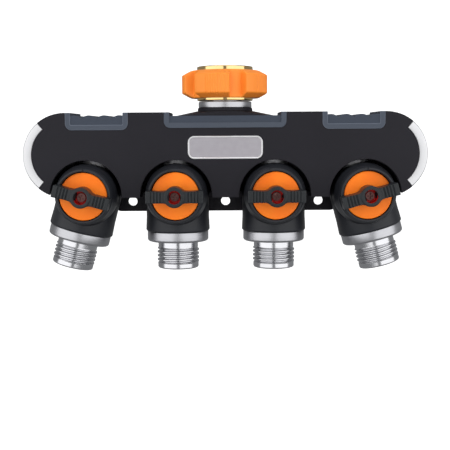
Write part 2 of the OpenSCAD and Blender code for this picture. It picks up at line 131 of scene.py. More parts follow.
def tidyMesh(mesh, sharp=32, dissolve=0.0):
    # merges doubles, turns the faces outward and keeps the edges above the sharp angle crisp
    work = bmesh.new()
    work.from_mesh(mesh)
    bmesh.ops.remove_doubles(work, verts=work.verts, dist=2e-7)
    bmesh.ops.dissolve_degenerate(work, edges=work.edges, dist=1e-8)
    if dissolve:
        angle = math.radians(dissolve)
        bmesh.ops.dissolve_limit(work, angle_limit=angle, verts=work.verts, edges=work.edges)
    bmesh.ops.recalc_face_normals(work, faces=work.faces)
    for face in work.faces:
        face.smooth = True
    for edge in work.edges:
        edge.smooth = len(edge.link_faces) == 2 and edge.calc_face_angle(0) < math.radians(sharp)
    work.to_mesh(mesh)
    work.free()
    mesh.update()


def joined(name, meshes, sharp):
    # several closed shells of one piece, each tidied by itself, in one mesh
    work = bmesh.new()
    for mesh in meshes:
        tidyMesh(mesh, sharp)
        work.from_mesh(mesh)
        bpy.data.meshes.remove(mesh)
    out = bpy.data.meshes.new(name)
    work.to_mesh(out)
    work.free()
    return out


def addPiece(name, mesh, body, node, finish, sharp=32, tidy=True):
    # a new piece that stands for a CAD node and moves with its body
    if tidy:
        tidyMesh(mesh, sharp)
    piece = bpy.data.objects.new(name, mesh)
    bpy.context.scene.collection.objects.link(piece)
    mesh.materials.clear()
    mesh.materials.append(finish)
    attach(piece, body)
    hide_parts(node)
    return piece


def bevelled(piece, width, segments=3):
    # rounds the crisp edges of a finished piece
    edge = piece.modifiers.new("edge", "BEVEL")
    edge.width = width * mm
    edge.segments = segments
    edge.limit_method = "ANGLE"
    edge.angle_limit = math.radians(32)
    edge.harden_normals = True
    edge.use_clamp_overlap = True
    edge.miter_outer = "MITER_ARC"


def fromCad(name, node, body, finish, width):
    # a merged copy of a CAD node with its edges rounded
    mesh = nodes[node].data.copy()
    mesh.name = name
    tidyMesh(mesh, dissolve=0.4)
    bevelled(addPiece(name, mesh, body, node, finish, tidy=False), width)


def turnedUp(profile, place, steps):
    # a closed (radius, height) outline turned round the local z axis
    angle = np.linspace(0, turn, steps, endpoint=False)[:, None]
    r, h = profile[:, 0][None], profile[:, 1][None]
    points = np.stack([r * np.cos(angle), r * np.sin(angle), h + 0 * angle], -1)
    return place.world(points)


def turnedForward(profile, place, steps):
    # a closed (radius, depth) outline turned round the local y axis, depth counted towards the front
    angle = np.linspace(0, turn, steps, endpoint=False)[:, None]
    r, d = profile[:, 0][None], profile[:, 1][None]
    return place.world(np.stack([r * np.cos(angle), -d + 0 * angle, r * np.sin(angle)], -1))


def profileUv(profile, steps):
    # uv for a turned piece: turns round, and the height itself, so that turning marks follow the axis
    u = np.linspace(0, 1, steps + 1)[:, None]
    v = np.append(profile[:, 1], profile[0, 1])[None]
    return np.stack([u + 0 * v, v + 0 * u], -1)


def turned(name, corners, place, forward=False):
    # an outline with rounded corners, turned round the axis of its place or round the forward axis
    steps = 128
    profile = filleted(corners)
    points = (turnedForward if forward else turnedUp)(profile, place, steps)
    return gridMesh(name, points, uv=profileUv(profile, steps))


def smoothStep(low, high, x):
    # 0 below low, 1 above high and an even S between them
    t = np.clip((x - low) / (high - low), 0, 1)
    return t * t * (3 - 2 * t)


class Wire:
    # a node's output that can be added, subtracted, multiplied and compared
    def __init__(self, finish, socket):
        self.finish = finish
        self.socket = socket

    def math(self, operation, first, second):
        return self.finish.add("ShaderNodeMath", {"operation": operation}, [first, second])

    def __add__(self, other):
        return self.math("ADD", self, other)

    def __sub__(self, other):
        return self.math("SUBTRACT", self, other)

    def __rsub__(self, other):
        return self.math("SUBTRACT", other, self)

    def __mul__(self, other):
        return self.math("MULTIPLY", self, other)

    def __lt__(self, other):
        return self.math("LESS_THAN", self, other)

    __radd__ = __add__
    __rmul__ = __mul__


class Finish:
    # a material whose nodes are added one by one; constants go straight to the shader's sockets
    def __init__(self, name, **constants):
        self.material = bpy.data.materials.new(name)
        self.material.use_nodes = True
        self.tree = self.material.node_tree
        self.shader = self.tree.nodes["Principled BSDF"]
        for socket, value in constants.items():
            self.set(socket, value)

    def set(self, socket, value):
        target = self.shader.inputs[socket.replace("_", " ")]
        if isinstance(value, Wire):
            self.tree.links.new(value.socket, target)
        else:
            target.default_value = (*value, 1.0) if isinstance(value, tuple) else value

    def add(self, kind, settings=None, inputs=(), output=0):
        node = self.tree.nodes.new(kind)
        for key, value in (settings or {}).items():
            setattr(node, key, value)
        pairs = inputs.items() if isinstance(inputs, dict) else enumerate(inputs)
        for key, value in pairs:
            if isinstance(value, Wire):
                self.tree.links.new(value.socket, node.inputs[key])
            else:
                node.inputs[key].default_value = value
        return Wire(self, node.outputs[output])

    def place(self, scale=(1, 1, 1)):
        where = self.add("ShaderNodeTexCoord", output="Object")
        return self.add("ShaderNodeMapping", {}, {"Vector": where, "Scale": scale})

    def depth(self):
        # millimetres ahead of the outlets' plane
        return self.add("ShaderNodeSeparateXYZ", {}, [self.place()], "Y") * -1000.0

    def noise(self, scale, detail=3.0, vector=None, rough=0.5):
        # scale is in features a metre
        return self.add("ShaderNodeTexNoise", {}, {
            "Vector": vector or self.place(), "Scale": scale, "Detail": detail, "Roughness": rough})

    def lineNoise(self, across, scale):
        # noise that changes along one value only
        values = {"W": across, "Scale": scale, "Detail": 4.0}
        return self.add("ShaderNodeTexNoise", {"noise_dimensions": "1D"}, values)

    def mix(self, amount, low, high):
        settings = {"data_type": "RGBA", "clamp_factor": True}
        ends = [end if isinstance(end, Wire) else (*end, 1.0) for end in (low, high)]
        return self.add("ShaderNodeMix", settings, {0: amount, 6: ends[0], 7: ends[1]}, 2)

    def bump(self, height, distance):
        # distance is the height of the relief in millimetres
        self.set("Normal", self.add("ShaderNodeBump", {}, {"Distance": distance * mm, "Height": height}))

    def along(self):
        # the piece's own height along its turning axis, in millimetres
        uv = self.add("ShaderNodeUVMap", {"uv_map": "along"})
        return self.add("ShaderNodeSeparateXYZ", {}, [uv], "Y")


def mouldedPlastic(name, dark, light, roughness, depth=0.018, gloss=0.32):
    # spark-eroded mould grain, with a slow drift in colour and gloss
    f = Finish(name, Specular_IOR_Level=gloss)
    fine = f.noise(2600.0, 2.0)
    slow = f.noise(28.0, 3.0)
    f.set("Base_Color", f.mix(slow * 1.6 - 0.3, dark, light))
    f.set("Roughness", roughness + (fine - 0.5) * 0.12 + (slow - 0.5) * 0.10)
    f.bump(fine, depth)
    return f.material


def softRubber(name, dark, light):
    # matt, with fine pores and a slow drift in colour
    f = Finish(name, Specular_IOR_Level=0.28)
    pores = f.noise(3400.0, 2.0)
    f.set("Base_Color", f.mix(f.noise(60.0, 3.0) * 1.8 - 0.4, dark, light))
    f.set("Roughness", 0.66 + (pores - 0.5) * 0.2)
    f.bump(pores, 0.03)
    return f.material


def gripFinish(name, rim, panel, paintedHighlight, panelAt, rimAt):
    # soft rubber, with a painted highlight that lightens the rounded edges between the panel and the raised front
    # rim;
    # panelAt and rimAt are the depths of the panel's face and of the rim's
    f = Finish(name, Specular_IOR_Level=0.28)
    pores = f.noise(3400.0, 2.0)
    drift = f.noise(60.0, 3.0) * 0.6 - 0.3
    # painted highlight: from the panel's face up the rounded edge towards the rim the colour turns to the light
    # highlight colour
    edge = (f.depth() - panelAt) * 3.0
    onRim = (f.depth() - rimAt) * 40.0
    lower = f.mix(edge + drift, panel, paintedHighlight)
    f.set("Base_Color", f.mix(onRim, lower, f.mix(drift + 0.5, rim, panel)))
    f.set("Roughness", 0.66 + (pores - 0.5) * 0.2)
    f.bump(pores, 0.03)
    return f.material


def dialFinish(name, dark, light, recess, paintedShadeFrom):
    # satin orange; down the moulded recess ahead of the disc it is painted deep red, as painted shade
    f = Finish(name, Specular_IOR_Level=0.20)
    fine = f.noise(2600.0, 2.0)
    disc = f.mix(f.noise(90.0, 4.0) * 1.8 - 0.4, dark, light)
    # painted shade: past the given depth the orange is painted deep red, the way it looks down the shaded recess
    f.set("Base_Color", f.mix((f.depth() - paintedShadeFrom) * 4.0, disc, recess))
    f.set("Roughness", 0.42 + (fine - 0.5) * 0.14)
    f.bump(fine, 0.010)
    return f.material


def turnedMetal(name, dark, light, roughness, satinTo=-100.0):
    # lathe marks that run round the piece; it is brushed satin up to one height and bright from there on
    f = Finish(name, Metallic=1.0, Anisotropic=0.3)
    coarse = f.lineNoise(f.along(), 3.0)
    patches = f.noise(120.0, 3.0)
    satin = f.along() < satinTo
    f.set("Base_Color", f.mix(coarse * 0.7 + patches * 0.5 - 0.1 - satin * 0.45, dark, light))
    f.set("Roughness", satin * 0.14 + roughness + (coarse - 0.5) * 0.10 + (patches - 0.5) * 0.08)
    f.bump(coarse, 0.0015)
    return f.material


def plainMetal(name, dark, light, roughness, grain=700.0, depth=0.02, metallic=1.0):
    # an even grain, as cast or plated, with a slow drift in colour
    f = Finish(name, Metallic=metallic)
    fine = f.noise(grain, 4.0)
    f.set("Base_Color", f.mix(f.noise(40.0, 3.0) * 1.4 - 0.2, dark, light))
    f.set("Roughness", roughness + (fine - 0.5) * 0.15)
    f.bump(fine, depth)
    return f.material


def brushedPlate(name, dark, light):
    # grain drawn along the plate, so the noise is squeezed across it
    f = Finish(name, Metallic=0.55, Anisotropic=0.3)
    streaks = f.noise(1.0, 5.0, f.place((90.0, 90.0, 5200.0)), 0.6)
    mottle = f.noise(380.0, 4.0)
    f.set("Base_Color", f.mix(streaks * 0.6 + mottle * 0.6 - 0.1, dark, light))
    f.set("Roughness", 0.46 + (streaks - 0.5) * 0.2)
    f.bump(streaks, 0.006)
    return f.material


print("finishes")
finishAndPaintedLightEnds = {            # where a finish changes, or where a painted highlight or painted shade starts
    "gripPanel": 19.3, "gripRim": 19.78, "dialRecess": 31.0,   # depths counted towards the front
    "collar": 30.7,       # height on the turning axis: an outlet's collar is satin, and the neck all over
}

casingPlastic = mouldedPlastic(
    "casingPlastic", (0.0072, 0.0064, 0.0105), (0.0108, 0.0098, 0.0150), 0.48, gloss=0.22)
barrelPlastic = mouldedPlastic(
    "barrelPlastic", (0.0130, 0.0140, 0.0180), (0.0175, 0.0190, 0.0240), 0.40)
leverPlastic = mouldedPlastic(
    "leverPlastic", (0.0095, 0.0115, 0.0135), (0.0135, 0.0160, 0.0185), 0.36)
orangePlastic = mouldedPlastic(
    "orangePlastic", (0.92, 0.245, 0.026), (0.96, 0.295, 0.038), 0.38, depth=0.010, gloss=0.24)
# the last colour is painted shade: the orange as it looks down the dark recess in the hub
dialPlastic = dialFinish(
    "dialPlastic", (1.0, 0.180, 0.006), (1.0, 0.235, 0.011), (0.62, 0.008, 0.004), finishAndPaintedLightEnds["dialRecess"])
# the third colour is a painted highlight for the rounded edges round each panel
gripRubber = gripFinish(
    "gripRubber", (0.047, 0.056, 0.075), (0.040, 0.050, 0.071), (0.130, 0.150, 0.190),
    finishAndPaintedLightEnds["gripPanel"], finishAndPaintedLightEnds["gripRim"])
sealRubber = softRubber("sealRubber", (0.012, 0.012, 0.013), (0.022, 0.022, 0.024))
trimSilver = plainMetal(
    "trimSilver", (0.52, 0.52, 0.53), (0.62, 0.62, 0.63), 0.34, grain=1800.0, depth=0.004)
outletSilver = turnedMetal(
    "outletSilver", (0.42, 0.42, 0.44), (0.70, 0.70, 0.72), 0.18, finishAndPaintedLightEnds["collar"])
nutBrass = turnedMetal("nutBrass", (0.62, 0.40, 0.14), (0.92, 0.70, 0.36), 0.11)
plainBrass = plainMetal("plainBrass", (0.58, 0.38, 0.14), (0.72, 0.50, 0.22), 0.32, depth=0.006)
castAlloy = plainMetal("castAlloy", (0.36, 0.36, 0.37), (0.48, 0.48, 0.50), 0.55, depth=0.06)
darkSteel = plainMetal("darkSteel", (0.05, 0.022, 0.020), (0.13, 0.065, 0.060), 0.30, depth=0.005)
ballChrome = plainMetal("ballChrome", (0.66, 0.67, 0.69), (0.78, 0.79, 0.81), 0.10, depth=0.001)
seatPlastic = mouldedPlastic("seatPlastic", (0.72, 0.72, 0.69), (0.82, 0.82, 0.79), 0.4)
plateMetal = brushedPlate("plateMetal", (0.30, 0.285, 0.31), (0.41, 0.39, 0.42))
rimMetal = plainMetal(
    "rimMetal", (0.74, 0.74, 0.75), (0.84, 0.84, 0.85), 0.30, depth=0.002, metallic=0.5)

# the pieces that stay as the CAD model has them, nearly all of them out of sight
insideFinishes = {
    "manifold": castAlloy, "manifold_end_plugs": plainBrass, "stem_glands": plainBrass,
    "neck_seal": sealRubber, "outlet_seals": sealRubber, "ball_seats": seatPlastic,
    "case_screws": darkSteel,
}
for i in valveNumbers:
    insideFinishes.update({f"stem_{i}": plainBrass, f"stem_seal_{i}": sealRubber, f"ball_{i}": ballChrome})
for node, finish in insideFinishes.items():
    nodes[node].data.materials.clear()
    nodes[node].data.materials.append(finish)


print("casing")
casing = {                # rounding of the edges
    "cover": 0.7, "grip": 0.7, "cone": 0.5,
}
fromCad("casingFront", "front_cover", "splitter", casingPlastic, casing["cover"])
fromCad("casingBack", "rear_cover", "splitter", casingPlastic, casing["cover"])
fromCad("neckCone", "neck_shroud", "splitter", casingPlastic, casing["cone"])
for side in ("left", "middle", "right"):
    fromCad(f"{side}Grip", f"{side}_grip", "splitter", gripRubber, casing["grip"])

endTrim = {
    "band": 5.3,          # width of the front and back bands
    "lip": 1.6,           # thickness of the bands
    "skin": 1.8,          # thickness of the wall round the casing's end
    "halfAngle": 50.0,    # degrees covered above and below the middle
    "outerRadius": 0.9, "innerRadius": 0.35, "endEdge": 0.3,
    "steps": 64,
}


def makeEndTrim(name, node, side):
    # a channel section carried round the casing's end, with its two ends closed
    low, high = cadBoxMm(node)
    t = endTrim
    halfSin = math.sin(math.radians(t["halfAngle"]))
    outer = (high[2] - low[2]) / 2 / halfSin
    centreZ = (high[2] + low[2]) / 2
    centreX = (high[0] if side > 0 else -low[0]) - outer
    front, back = -low[1], -high[1]
    inner, skin, lip = outer - t["band"], outer - t["skin"], t["lip"]
    section = filleted([
        (outer, front, t["outerRadius"]), (inner, front, t["innerRadius"]),
        (inner, front - lip, 0), (skin, front - lip, 0), (skin, back + lip, 0), (inner, back + lip, 0),
        (inner, back, t["innerRadius"]), (outer, back, t["outerRadius"])], 5)
    angle = np.radians(np.linspace(-t["halfAngle"], t["halfAngle"], t["steps"]))[:, None]
    r, depth = section[:, 0][None], section[:, 1][None]
    x = side * (centreX + r * np.cos(angle))
    z = centreZ + r * np.sin(angle)
    mesh = gridMesh(name, np.stack([x, -depth + 0 * angle, z], -1), closedRows=False, caps=True)
    bevelled(addPiece(name, mesh, "splitter", node, trimSilver), t["endEdge"], 2)


makeEndTrim("leftTrim", "left_end_trim", -1)
makeEndTrim("rightTrim", "right_end_trim", 1)

plate = {
    "corner": 4.0,        # corner radius
    "rim": 0.95,          # width of the bright rim
    "slope": 0.3,         # width of its fall to the blank face
    "groove": 0.28,       # depth of the face behind the rim
    "chamfer": 0.25,
    "backInset": 1.5, "faceInset": 2.0,   # outlines that the two flat caps close
    "cornerSteps": 14,
}


def makeNamePlate():
    # a round-cornered outline shrunk step by step: up the outer wall, over the rim, down on to the face
    low, high = cadBoxMm("name_plate")
    centre, half = (low + high) / 2, (high - low) / 2
    p = plate
    count = p["cornerSteps"]
    angle = np.radians(np.concatenate([np.linspace(a, a + 90, count) for a in (0, 90, 180, 270)]))
    signX = np.repeat([1, -1, -1, 1], count)
    signZ = np.repeat([1, 1, -1, -1], count)

    def ring(inset, depth):
        radius = max(p["corner"] - inset, 0.3)
        x = signX * (half[0] - inset - radius) + radius * np.cos(angle)
        z = signZ * (half[2] - inset - radius) + radius * np.sin(angle)
        return np.stack([centre[0] + x, depth + 0 * x, centre[2] + z], -1)

    front, back = low[1], high[1]
    faceAt = front + p["groove"]
    steps = [
        (p["backInset"], back), (0, back), (0, front + p["chamfer"]), (p["chamfer"], front),
        (p["rim"] - p["slope"], front), (p["rim"], faceAt), (p["faceInset"], faceAt)]
    mesh = gridMesh("namePlate", np.stack([ring(*step) for step in steps]), closedRows=False, caps=True)
    tidyMesh(mesh, 25)
    addPiece("namePlate", mesh, "splitter", "name_plate", rimMetal, tidy=False)
    mesh.materials.append(plateMetal)
    centres = np.empty(3 * len(mesh.polygons))
    mesh.polygons.foreach_get("center", centres)
    onFace = np.abs(centres[1::3] / mm - faceAt) < 0.02
    mesh.polygons.foreach_set("material_index", onFace.astype(np.int32))


makeNamePlate()


print("inlet")
neck = {
    "bore": 7.5, "collar": 16.8, "flange": 13.3, "tube": 10.9, "spigot": 10.4,
    "nutLip": 3.0,        # thickness of the nut's lip, held between the collar and the flange
    "collarGap": 0.5, "flangeGap": 0.2,
    "collarLow": 10.1,    # height of the collar's underside over the spigot's end
    "groove": 8.5, "grooveTop": 6.8, "grooveLow": 4.8,
}


def makeNeck():
    # flange, tube, collar and spigot with its seal groove, in one outline turned round the inlet
    low, high = cadBoxMm("inlet_neck")
    end, nutLow = low[2], cadBoxMm("swivel_nut")[0][2]
    k = neck
    collarTop, collarLow = nutLow - k["collarGap"], end + k["collarLow"]
    flangeLow = nutLow + k["nutLip"] + k["flangeGap"]
    mesh = turned("inletNeck", [
        (k["bore"], high[2], 0.6), (k["flange"], high[2], 0.4), (k["flange"], flangeLow, 0.3),
        (k["tube"], flangeLow, 0), (k["tube"], collarTop, 0), (k["collar"], collarTop, 0.5),
        (k["collar"], collarLow, 0.5), (k["spigot"], collarLow, 0), (k["spigot"], end + k["grooveTop"], 0),
        (k["groove"], end + k["grooveTop"], 0), (k["groove"], end + k["grooveLow"], 0),
        (k["spigot"], end + k["grooveLow"], 0), (k["spigot"], end, 0.3), (k["bore"], end, 0)], inletPlace)
    addPiece("inletNeck", mesh, "splitter", "inlet_neck", outletSilver)


makeNeck()

thread = {
    "nutPitch": 2.209,    # 11.5 threads an inch
    "outletPitch": 2.5,
    "depth": 1.25,        # crest to root
}


def threadWave(turns, height, pitch):
    # 0 at the roots and 1 on the crests of a right-handed thread:
    # a rounded triangle wave of the height, counted in pitches, less the turns
    phase = (height / pitch - turns) % 1.0
    return smoothStep(0.08, 0.80, 1 - 2 * np.abs(phase - 0.5))


nut = {
    "seat": 13.9,         # radius of the chamber for the washer and the neck's flange
    "neckGap": 0.1,
    "mouth": 0.35,        # how much wider than the thread the mouth is
    "edge": 0.6,
    "steps": 144, "threadRows": 92,
}


def makeNut():
    # a turned outline whose bore carries the female thread, cut outwards from the minor radius
    low, high = cadBoxMm("swivel_nut")
    outer, bottom, top = high[0], low[2], high[2]
    bore = mounts["inlet"]["dims"]["r_mm"]
    length = mounts["inlet"]["dims"]["length_mm"]
    lipTop = bottom + neck["nutLip"]
    hole = neck["tube"] + nut["neckGap"]
    outside = filleted([
        (nut["seat"], -length - 0.01, 0), (nut["seat"], lipTop, 0), (hole, lipTop, 0), (hole, bottom, 0.3),
        (outer, bottom, nut["edge"]), (outer, top, nut["edge"]), (bore + nut["mouth"], top, 0.2)])
    rows = np.linspace(top - 0.5, -length, nut["threadRows"])
    steps = nut["steps"]
    u = np.linspace(0, 1, steps, endpoint=False)[:, None]
    fade = smoothStep(-length, -length + 1.2, rows) * (1 - smoothStep(top - 1.6, top - 0.5, rows))
    threadR = bore - thread["depth"] * (1 - threadWave(u, rows[None], thread["nutPitch"])) * fade[None]
    r = np.concatenate([np.repeat(outside[None, :, 0], steps, 0), threadR], 1)
    h = np.concatenate([np.repeat(outside[None, :, 1], steps, 0), np.repeat(rows[None], steps, 0)], 1)
    points = np.stack([r * np.cos(turn * u), r * np.sin(turn * u), h], -1)
    mesh = gridMesh("swivelNut", points, uv=profileUv(np.stack([r[0], h[0]], -1), steps))
    addPiece("swivelNut", mesh, "nut", "swivel_nut", nutBrass, 40)


makeNut()

gripRing = {
    "base": 21.6,         # radius between the lobes
    "lobe": 27.25,        # radius over the lobes
    "inner": 17.62,
    "count": 5,
    "span": 53.0,         # degrees covered by a lobe
    "firstLobe": -108.5,  # middle of the front lobe, counted from +X
    "flat": 11.0,         # height of a lobe's upright face
    "ribPitch": 3.3,      # degrees from one rib to the next
    "ribsFrom": -8.0,     # the ribs cover a lobe from this angle on
    "ribDepth": 0.32,
    "flankWidth": 2.2,    # degrees over which a lobe's side rises
    "edge": 0.7,          # rounding at the top and bottom rims
    "steps": 1080, "rows": 34,
}


def makeGripRing():
    # the radius is the base, plus the lobe's height times a flat-topped bump round the ring
    # and times a chamfered bump up the ring, less the ribs and the rounding at the rims
    low, high = cadBoxMm("nut_grip")
    g = gripRing
    bottom, top = low[2], high[2]
    middle, halfHeight = (bottom + top) / 2, (top - bottom) / 2
    rows = bottom + (top - bottom) * (0.5 - 0.5 * np.cos(np.linspace(0, math.pi, g["rows"])))
    angle = np.linspace(0, 360, g["steps"], endpoint=False)[:, None]
    step = 360 / g["count"]
    off = (angle - g["firstLobe"] + step / 2) % step - step / 2
    around = 1 - smoothStep(g["span"] / 2 - g["flankWidth"], g["span"] / 2, np.abs(off))
    pastFlat = np.clip((np.abs(rows - middle) - g["flat"] / 2) / (halfHeight - g["flat"] / 2), 0, 1)
    upward = np.minimum(1 - pastFlat, 0.985)
    ribWave = 0.5 - 0.5 * np.cos(turn * (off - g["ribsFrom"]) / g["ribPitch"])
    ribbed = around * smoothStep(g["ribsFrom"] - 0.4, g["ribsFrom"] + 0.4, off)
    ribs = g["ribDepth"] * (1 - ribWave ** 0.6) * smoothStep(0.0, 0.3, upward) * ribbed
    r = g["base"] + (g["lobe"] - g["base"]) * around * upward[None] - ribs
    edge = g["edge"]
    toEnd = np.clip(edge - (halfHeight - np.abs(rows - middle)), 0, edge)
    r = r - (edge - np.sqrt(edge ** 2 - toEnd ** 2))[None]
    inner = np.full((g["steps"], 1), g["inner"])
    r = np.concatenate([inner, r, inner], 1)
    h = np.concatenate([[bottom], rows, [top]])[None] + 0 * angle
    a = np.radians(angle)
    points = np.stack([r * np.cos(a), r * np.sin(a), h], -1)
    mesh = gridMesh("gripRing", points)
    addPiece("gripRing", mesh, "nut", "nut_grip", orangePlastic, 50)


makeGripRing()

washer = {
    "inner": 8.15, "outer": 12.55, "edge": 0.5,
    "ear": 0.85,          # how far an ear stands out
    "earWidth": 8.0,      # degrees from an ear's middle to its side
    "ears": 3, "firstEar": 30.0,
    "steps": 180,
}


def makeWasher():
    # a ring whose outer radius swells into small ears
    low, high = cadBoxMm("inlet_washer")
    w = washer
    angle = np.linspace(0, 360, w["steps"], endpoint=False)[:, None]
    step = 360 / w["ears"]
    off = (angle - w["firstEar"] + step / 2) % step - step / 2
    outer = w["outer"] + w["ear"] * np.exp(-(off / w["earWidth"]) ** 4)
    bottom, top, edge = low[2], high[2], w["edge"]
    section = filleted([(0, bottom, edge), (1, bottom, edge), (1, top, edge), (0, top, edge)])
    r = w["inner"] + (outer - w["inner"]) * section[:, 0][None]
    a = np.radians(angle)
    points = np.stack([r * np.cos(a), r * np.sin(a), section[:, 1][None] + 0 * r], -1)
    mesh = gridMesh("inletWasher", points)
    addPiece("inletWasher", mesh, "nut", "inlet_washer", sealRubber)


makeWasher()


barrel = {
    "outer": 20.0, "foot": 20.35,
    "flareFrom": 14.9,    # how far down the wall starts to widen towards the foot
    "bottom": 23.9, "bottomEdge": 1.2,
    "hole": 9.05,         # radius of the way in at the top of the dome
    "dome": 17.55,        # inner radius of the dome
    "domeFrom": -0.32,    # radians from the middle at which the inner dome starts
    "chamber": 16.55, "chamberTop": -5.9,
}
dialRing = {              # radii, and depths counted towards the front
    "base": 19.35, "baseFrom": 4.6, "baseTo": 17.4,
    "neck": 17.9, "floor": 24.0, "gland": 8.15,
    "rim": 17.7, "rimFrom": 3.0, "chamfer": 1.2, "front": 30.0, "inner": 15.0,
}
stopLug = {
    "from": 14.5, "span": 61.0,   # degrees
    "inner": 15.2, "outer": 17.0, "taper": 0.3,
    "height": 1.6,        # ahead of the ring
    "sunk": 1.0,          # below the ring's front
}


def barrelShell(place):
    # dome, straight wall, flared and rounded foot, then back up the inside, turned round the outlet's axis
    b = barrel
    outerArc = np.linspace(math.acos(b["hole"] / b["outer"]), 0, 28)
    innerArc = np.linspace(b["domeFrom"], math.acos(b["hole"] / b["dome"]), 24)
    foot = np.linspace(0, math.pi / 2, 7)
    edge, bottom = b["bottomEdge"], -b["bottom"]
    r = np.concatenate([
        b["outer"] * np.cos(outerArc), [b["outer"]], b["foot"] - edge + edge * np.cos(foot),
        [b["chamber"], b["chamber"]], b["dome"] * np.cos(innerArc)])
    h = np.concatenate([
        b["outer"] * np.sin(outerArc), [-b["flareFrom"]], bottom + edge - edge * np.sin(foot),
        [bottom, b["chamberTop"]], b["dome"] * np.sin(innerArc)])
    return gridMesh("shell", turnedUp(np.stack([r, h], -1), place, 128))


def ringRoundDial(place):
    # a waisted ring turned round the key's axis, its back hidden in the shell
    d = dialRing
    front, floor = d["front"], d["floor"]
    outline = filleted([
        (d["base"], d["baseFrom"], 0), (d["base"], d["baseTo"], 0.9), (d["neck"], floor, 4.0),
        (d["rim"], front - d["rimFrom"], 1.2), (d["rim"] - d["chamfer"], front, 0.5),
        (d["inner"], front, 0.3), (d["inner"], floor, 0.3), (d["gland"], floor, 0),
        (d["gland"], d["baseTo"], 0)], 5)
    return gridMesh("ring", turnedForward(outline, place, 144))


def lugOnRing(i, place):
    # a small rounded block carried round part of the ring, on the side that the key's turning sense asks for
    k, front = stopLug, dialRing["front"]
    start = k["from"] if joints[f"valve_key_{i}_turn"]["axis"][1] > 0 else 180 - k["from"] - k["span"]
    section = filleted([
        (k["inner"], front - k["sunk"], 0), (k["outer"], front - k["sunk"], 0),
        (k["outer"] - k["taper"], front + k["height"], 0.5), (k["inner"], front + k["height"], 0.5)])
    angle = np.radians(start + np.linspace(0, k["span"], 40))[:, None]
    r, depth = section[:, 0][None], section[:, 1][None]
    points = place.world(np.stack([r * np.cos(angle), -depth + 0 * angle, r * np.sin(angle)], -1))
    return gridMesh("lug", points, closedRows=False, caps=True)


def makeBarrel(i):
    place = valvePlace(i)
    name = f"barrel{i}"
    mesh = joined(name, [barrelShell(place), ringRoundDial(place), lugOnRing(i, place)], 40)
    addPiece(name, mesh, "splitter", f"barrel_{i}", barrelPlastic, tidy=False)


outlet = {                # radii, and distances down the outlet's axis from the valve's middle
    "bore": 8.5, "plug": 12.5, "plugTop": 10.8,
    "groove": 10.85, "grooveTop": 13.8, "grooveLow": 16.2,
    "shoulder": 16.5, "shoulderTop": 21.5,
    "collar": 19.5, "collarTop": 23.9, "collarLow": 30.4,
    "relief": 12.7, "threadFrom": 34.8, "threadTo": 44.0,
    "band": 13.05, "end": 47.8,
    "steps": 144, "rows": 150,
}


def makeOutlet(i):
    # the collar and bore are a turned outline; the spigot between them is a grid with the male thread on it
    place = valvePlace(i)
    o = outlet
    steps, end = o["steps"], o["end"]
    major = mounts[f"outlet_{i}"]["dims"]["r_mm"]
    inside = filleted([
        (o["bore"], end, 0.5), (o["bore"], o["plugTop"], 0), (o["plug"], o["plugTop"], 0),
        (o["plug"], o["grooveTop"], 0), (o["groove"], o["grooveTop"], 0), (o["groove"], o["grooveLow"], 0),
        (o["plug"], o["grooveLow"], 0), (o["plug"], o["shoulderTop"], 0),
        (o["shoulder"], o["shoulderTop"], 0), (o["shoulder"], o["collarTop"], 0),
        (o["collar"], o["collarTop"], 0.4), (o["collar"], o["collarLow"], 1.5),
        (o["relief"], o["collarLow"], 0.5)], 6)
    rows = np.linspace(o["collarLow"] + 0.6, end - 0.9, o["rows"])
    u = np.linspace(0, 1, steps, endpoint=False)[:, None]
    grow = smoothStep(o["threadFrom"] - 0.6, o["threadFrom"] + 0.8, rows)
    shrink = 1 - smoothStep(o["threadTo"] - 0.6, o["threadTo"] + 0.6, rows)
    fade = (grow * shrink)[None]
    wave = threadWave(u, -rows[None], thread["outletPitch"])
    plain = np.where(rows < (o["threadFrom"] + o["threadTo"]) / 2, o["relief"], o["band"])
    threaded = major - thread["depth"] * (1 - wave)
    threadR = plain[None] * (1 - fade) + threaded * fade
    band = o["band"]
    chamfer = np.array([[band, end - 0.8], [band - 0.35, end - 0.25], [band - 0.9, end]])
    edges = [np.repeat(outline[None, :, 0], steps, 0) for outline in (inside, chamfer)]
    r = np.concatenate([edges[0], threadR, edges[1]], 1)
    down = np.concatenate([inside[:, 1], rows, chamfer[:, 1]])[None] + 0 * u
    points = place.world(np.stack([r * np.cos(turn * u), r * np.sin(turn * u), -down], -1))
    mesh = gridMesh(f"outlet{i}", points, uv=profileUv(np.stack([r[0], down[0]], -1), steps))
    addPiece(f"outlet{i}", mesh, "splitter", f"outlet_{i}", outletSilver, 40)


dial = {                  # radii, and depths counted towards the front
    "radius": 14.6, "face": 29.2, "back": 27.0,
    "boss": 6.0, "bossHeight": 0.7,
    "tube": 4.6, "tubeFront": 41.2,
    "recess": 4.05, "web": 34.6,   # the web at the recess's bottom carries the screw
    "screwHole": 1.6, "socket": 3.45, "socketEnd": 33.0,
}


def makeDial(i):
    # disc, driving tube, recess and the stem's socket in one outline turned round the key's axis
    d = dial
    bossBack = d["back"] - d["bossHeight"]
    mesh = turned(f"dial{i}", [
        (d["boss"], bossBack, 0.2), (d["boss"], d["back"], 0), (d["radius"], d["back"], 0.2),
        (d["radius"], d["face"], 0.45), (d["tube"], d["face"], 0), (d["tube"], d["tubeFront"], 0),
        (d["recess"], d["tubeFront"], 0), (d["recess"], d["web"], 0.3), (d["screwHole"], d["web"], 0),
        (d["screwHole"], d["socketEnd"], 0), (d["socket"], d["socketEnd"], 0),
        (d["socket"], bossBack, 0)], valvePlace(i), forward=True)
    addPiece(f"dial{i}", mesh, f"valve_key_{i}", f"dial_{i}", dialPlastic, 40)


